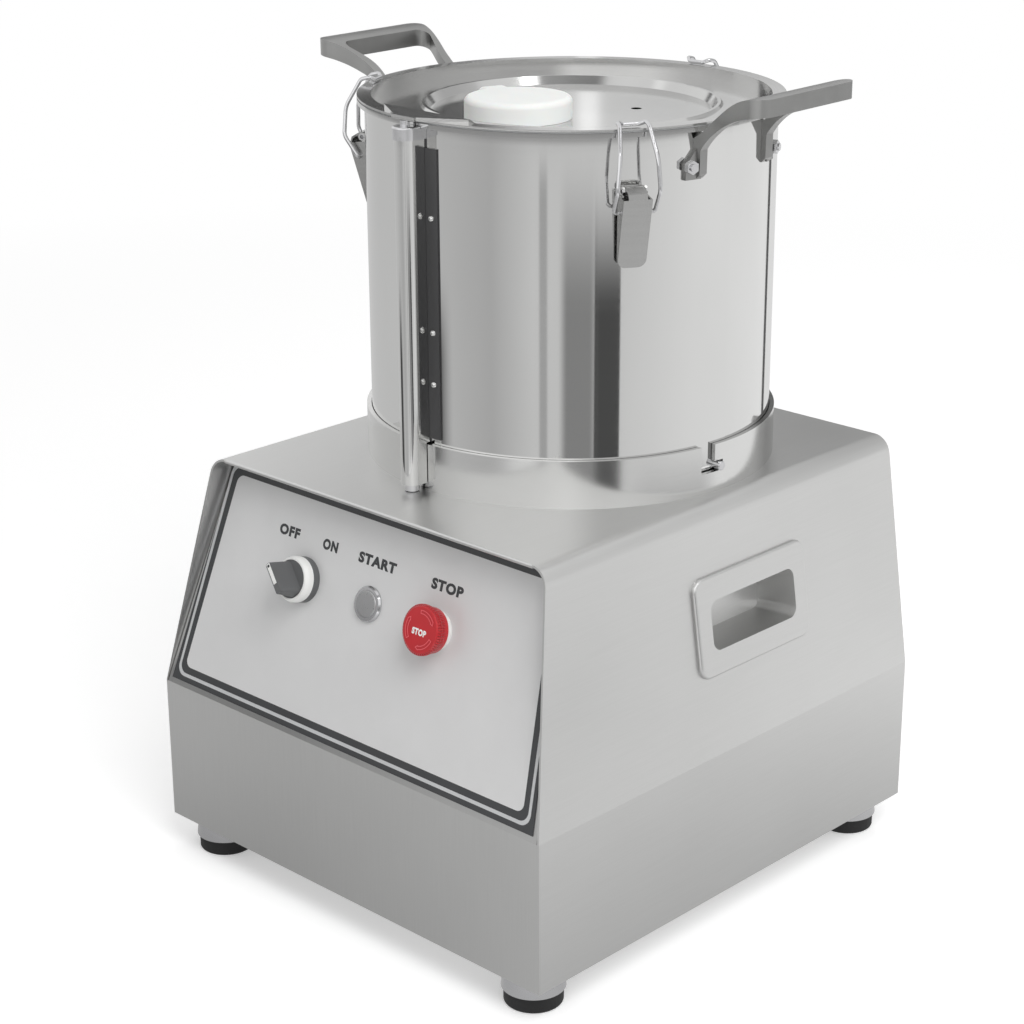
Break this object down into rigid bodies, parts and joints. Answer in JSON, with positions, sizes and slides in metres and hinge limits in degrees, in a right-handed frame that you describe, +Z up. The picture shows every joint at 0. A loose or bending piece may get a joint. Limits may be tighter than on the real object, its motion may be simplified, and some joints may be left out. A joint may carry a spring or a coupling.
{
  "type": "food cutter mixer",
  "caption": "Bench food cutter mixer: lidded steel bowl with cutting blades, locked onto a motor base with a slanted control panel.",
  "frame": {"origin": "on the table under the centre of the housing's plan", "axes": "+Z up, the control panel faces -Y, +X to the right for someone who faces the panel"},
  "size_m": [0.3946, 0.39, 0.5691],
  "materials": {
    "brushed_stainless": "brushed stainless sheet",
    "polished_stainless": "mirror polished stainless",
    "cast_stainless": "satin polished cast stainless",
    "plated_steel": "bright plated steel",
    "overlay_plastic": "printed satin polycarbonate",
    "white_plastic": "moulded white plastic",
    "black_plastic": "moulded black plastic",
    "grey_plastic": "moulded grey plastic",
    "red_plastic": "moulded red plastic",
    "black_rubber": "black rubber",
    "grey_rubber": "silicone rubber",
    "cast_aluminium": "cast aluminium",
    "laminated_steel": "laminated electrical steel",
    "enamelled_copper": "enamelled copper winding",
    "ground_steel": "ground steel"
  },
  "bodies": {
    "housing": {"housing_shell": "brushed_stainless", "front_panel": "brushed_stainless", "panel_overlay": "overlay_plastic", "rear_cover": "brushed_stainless", "base_plate": "brushed_stainless", "foot_cups": "plated_steel", "rubber_feet": "black_rubber", "frame_bolts": "plated_steel", "side_grips": "brushed_stainless", "bowl_seat_ring": "brushed_stainless", "shaft_boss": "ground_steel", "shaft_seal": "black_rubber", "motor_top_bell": "cast_aluminium", "motor_frame": "cast_aluminium", "motor_bottom_bell": "cast_aluminium", "motor_bearings": "ground_steel", "stator_core": "laminated_steel", "stator_windings": "enamelled_copper", "fan_cowl": "plated_steel", "run_capacitor": "grey_plastic", "contactor": "black_plastic", "terminal_block": "white_plastic", "cable_gland": "black_plastic", "switch_blocks": "grey_plastic", "selector_collar": "black_plastic", "selector_bezel": "white_plastic", "start_button_ring": "plated_steel", "estop_collar": "white_plastic"},
    "blade_shaft": {"motor_shaft": "ground_steel", "rotor_core": "laminated_steel", "cooling_fan": "black_plastic", "blade_hub": "polished_stainless", "lower_blade": "ground_steel", "upper_blade": "ground_steel", "blade_nut": "black_plastic"},
    "selector": {"selector_knob": "black_plastic"},
    "start_button": {"start_button_cap": "ground_steel"},
    "estop_slider": {"estop_stem": "grey_plastic"},
    "estop_mushroom": {"estop_head": "red_plastic"},
    "plunger": {"safety_plunger": "plated_steel"},
    "bowl_body": {"bowl": "polished_stainless", "bayonet_pins": "plated_steel", "interlock_column": "polished_stainless", "column_cap": "plated_steel", "latch_brackets": "polished_stainless", "latch_pins": "plated_steel", "handle_right": "cast_stainless", "handle_left": "cast_stainless", "handle_bolts": "plated_steel", "interlock_spring": "ground_steel"},
    "interlock": {"interlock_rod": "plated_steel"},
    "lid_body": {"lid": "polished_stainless", "lid_gasket": "grey_rubber"},
    "feed_plug": {"feed_cap": "white_plastic"},
    "lever_front": {"latch_lever_front": "polished_stainless"},
    "bail_front": {"latch_bail_front": "plated_steel"},
    "lever_left": {"latch_lever_left": "polished_stainless"},
    "bail_left": {"latch_bail_left": "plated_steel"},
    "lever_rear": {"latch_lever_rear": "polished_stainless"},
    "bail_rear": {"latch_bail_rear": "plated_steel"}
  },
  "joints": [
    {"name": "blade_spin", "type": "hinge", "parent": "housing", "child": "blade_shaft", "pos_m": [0, 0.0329, 0.2], "axis": [0, 0, 1], "continuous": true},
    {"name": "selector_turn", "type": "hinge", "parent": "housing", "child": "selector", "pos_m": [-0.066, -0.16255, 0.23136], "axis": [0, -0.951, 0.3091], "range_deg": [-90, 0]},
    {"name": "start_press", "type": "slide", "parent": "housing", "child": "start_button", "axis": [0, 0.951, -0.3091], "range_m": [0, 0.0025], "stiffness_N_per_m": 400},
    {"name": "estop_press", "type": "slide", "parent": "housing", "child": "estop_slider", "axis": [0, 0.951, -0.3091], "range_m": [0, 0.004]},
    {"name": "estop_release", "type": "hinge", "parent": "estop_slider", "child": "estop_mushroom", "pos_m": [0.064, -0.16255, 0.23136], "axis": [0, 0.951, -0.3091], "range_deg": [0, 45], "stiffness_Nm_per_rad": 0.05},
    {"name": "bowl_twist", "type": "hinge", "parent": "housing", "child": "bowl_body", "pos_m": [0, 0.0329, 0.3], "axis": [0, 0, 1], "range_deg": [-4, 0]},
    {"name": "lid_lift", "type": "slide", "parent": "bowl_body", "child": "lid_body", "axis": [0, 0, 1], "range_m": [0, 0.02]},
    {"name": "feed_cap_lift", "type": "slide", "parent": "lid_body", "child": "feed_plug", "axis": [0, 0, 1], "range_m": [0, 0.02]},
    {"name": "interlock_slide", "type": "slide", "parent": "bowl_body", "child": "interlock", "axis": [0, 0, 1], "range_m": [0, 0.003], "deforming": ["interlock_spring"]},
    {"name": "plunger_slide", "type": "slide", "parent": "housing", "child": "plunger", "axis": [0, 0, 1], "range_m": [0, 0.003]},
    {"name": "lever_turn_front", "type": "hinge", "parent": "bowl_body", "child": "lever_front", "pos_m": [0.1258, -0.04601, 0.5095], "axis": [-0.5314, -0.8471, 0], "range_deg": [0, 110]},
    {"name": "bail_turn_front", "type": "hinge", "parent": "lever_front", "child": "bail_front", "pos_m": [0.12665, -0.04654, 0.4962], "axis": [-0.5314, -0.8471, 0], "range_deg": [-230, 0]},
    {"name": "lever_turn_left", "type": "hinge", "parent": "bowl_body", "child": "lever_left", "pos_m": [-0.13267, -0.03382, 0.5095], "axis": [-0.4493, 0.8934, 0], "range_deg": [0, 110]},
    {"name": "bail_turn_left", "type": "hinge", "parent": "lever_left", "child": "bail_left", "pos_m": [-0.13356, -0.03427, 0.4962], "axis": [-0.4493, 0.8934, 0], "range_deg": [-230, 0]},
    {"name": "lever_turn_rear", "type": "hinge", "parent": "bowl_body", "child": "lever_rear", "pos_m": [-0.00622, 0.18127, 0.5095], "axis": [0.9991, 0.0419, 0], "range_deg": [0, 110]},
    {"name": "bail_turn_rear", "type": "hinge", "parent": "lever_rear", "child": "bail_rear", "pos_m": [-0.00626, 0.18227, 0.4962], "axis": [0.9991, 0.0419, 0], "range_deg": [-230, 0]}
  ],
  "couplings": [
    {"joint": "interlock_slide", "follows": "lid_lift", "ratio": 0.15},
    {"joint": "plunger_slide", "follows": "lid_lift", "ratio": 0.15},
    {"joint": "lever_turn_front", "follows": "lid_lift", "rad_per_m": 95.993},
    {"joint": "bail_turn_front", "follows": "lid_lift", "rad_per_m": -200.71},
    {"joint": "lever_turn_left", "follows": "lid_lift", "rad_per_m": 95.993},
    {"joint": "bail_turn_left", "follows": "lid_lift", "rad_per_m": -200.71},
    {"joint": "lever_turn_rear", "follows": "lid_lift", "rad_per_m": 95.993},
    {"joint": "bail_turn_rear", "follows": "lid_lift", "rad_per_m": -200.71}
  ]
}
